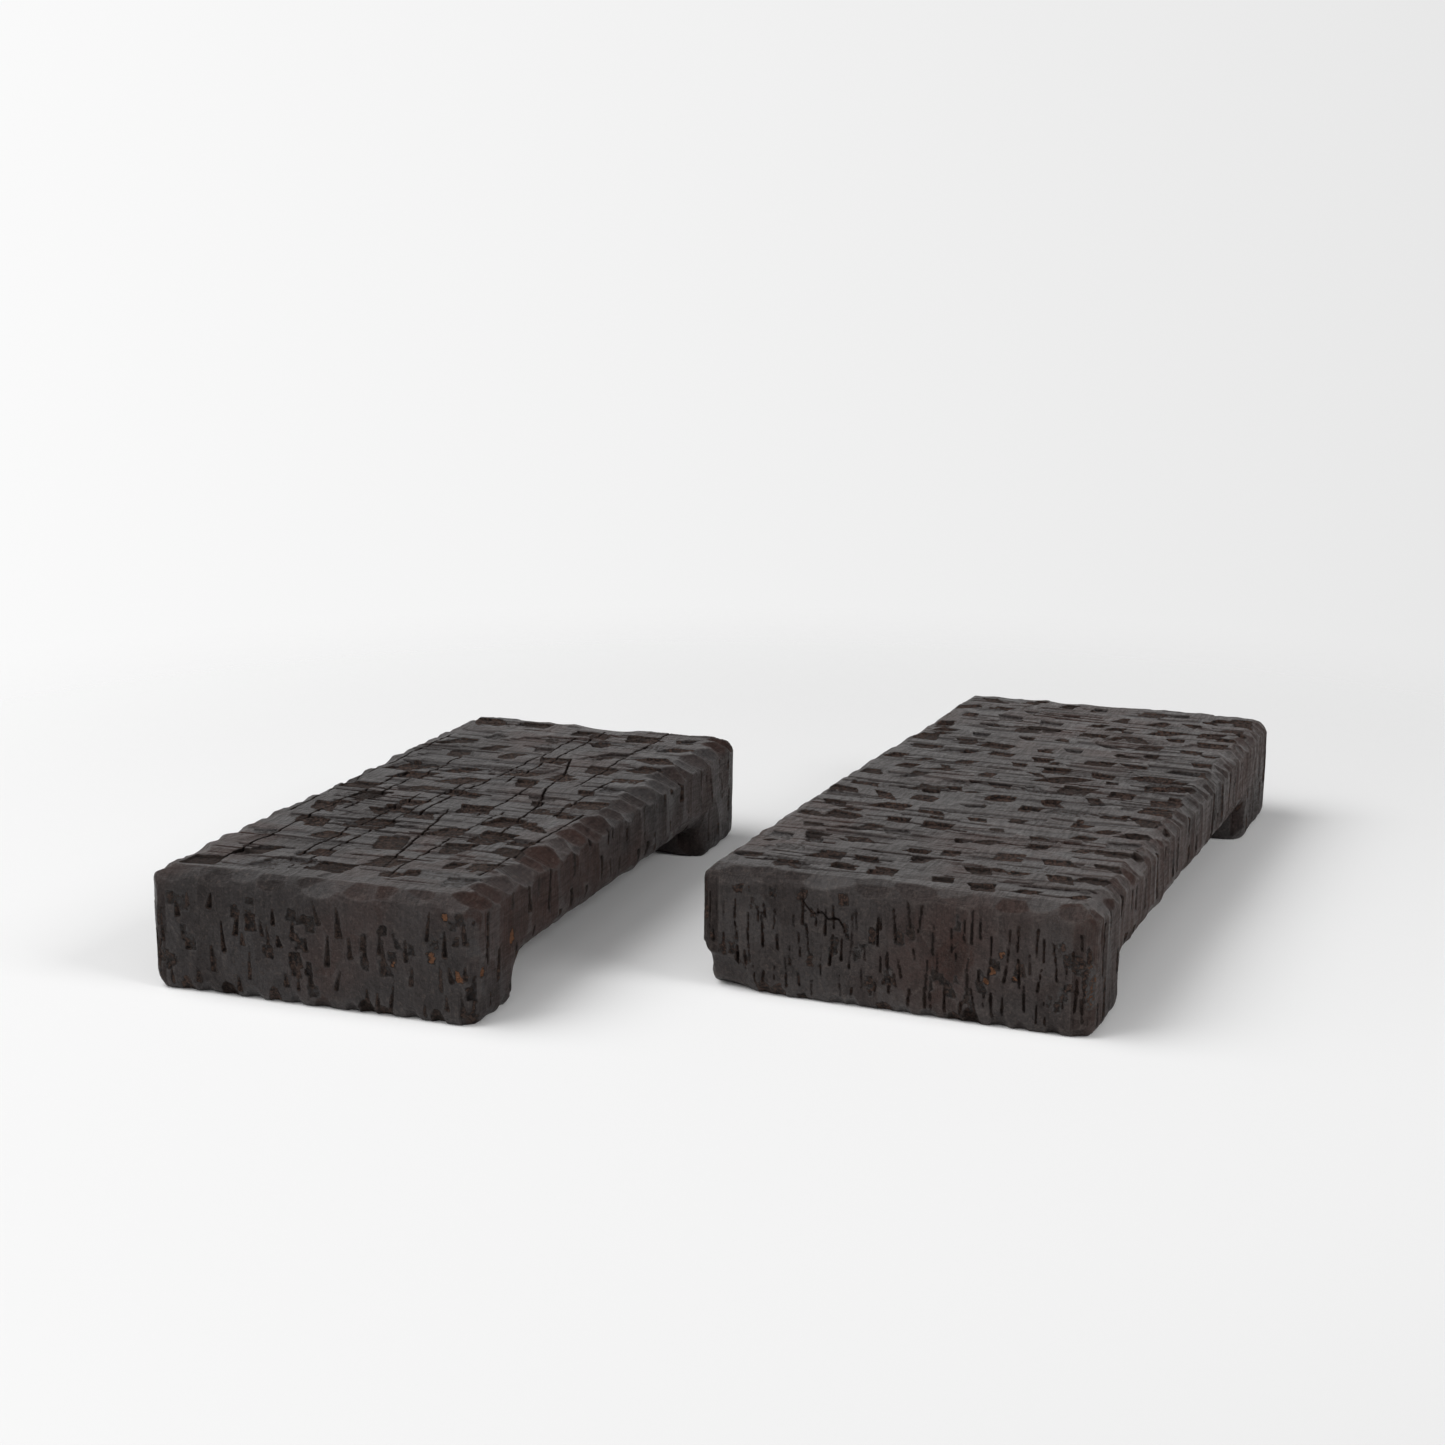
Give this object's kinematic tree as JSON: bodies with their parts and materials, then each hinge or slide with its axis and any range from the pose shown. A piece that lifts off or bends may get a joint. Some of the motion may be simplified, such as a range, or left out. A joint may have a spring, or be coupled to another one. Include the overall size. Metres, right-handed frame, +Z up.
{
  "type": "hewn timber display riser set",
  "caption": "Large and small low display risers, each hewn from one timber block: a slab on a full-width foot at either end, covered in shallow chisel cuts.",
  "frame": {"origin": "middle of the pair's footprint, on the floor", "axes": "+Y along the large riser's length towards its back, +X across it from the small riser to the large one, +Z up"},
  "size_m": [0.5737, 0.694, 0.076],
  "materials": {
    "stained_timber": "dark charcoal-brown stain, satin on the planed lands and dull on the rough floors of the cuts"
  },
  "bodies": {
    "large_riser": {"large_riser": "stained_timber"},
    "small_riser": {"small_riser": "stained_timber"}
  },
  "joints": [
    {"name": "small_riser_shift", "type": "slide", "parent": "large_riser", "child": "small_riser", "axis": [1, 0, 0], "range_m": [-0.2, 0.075]}
  ]
}
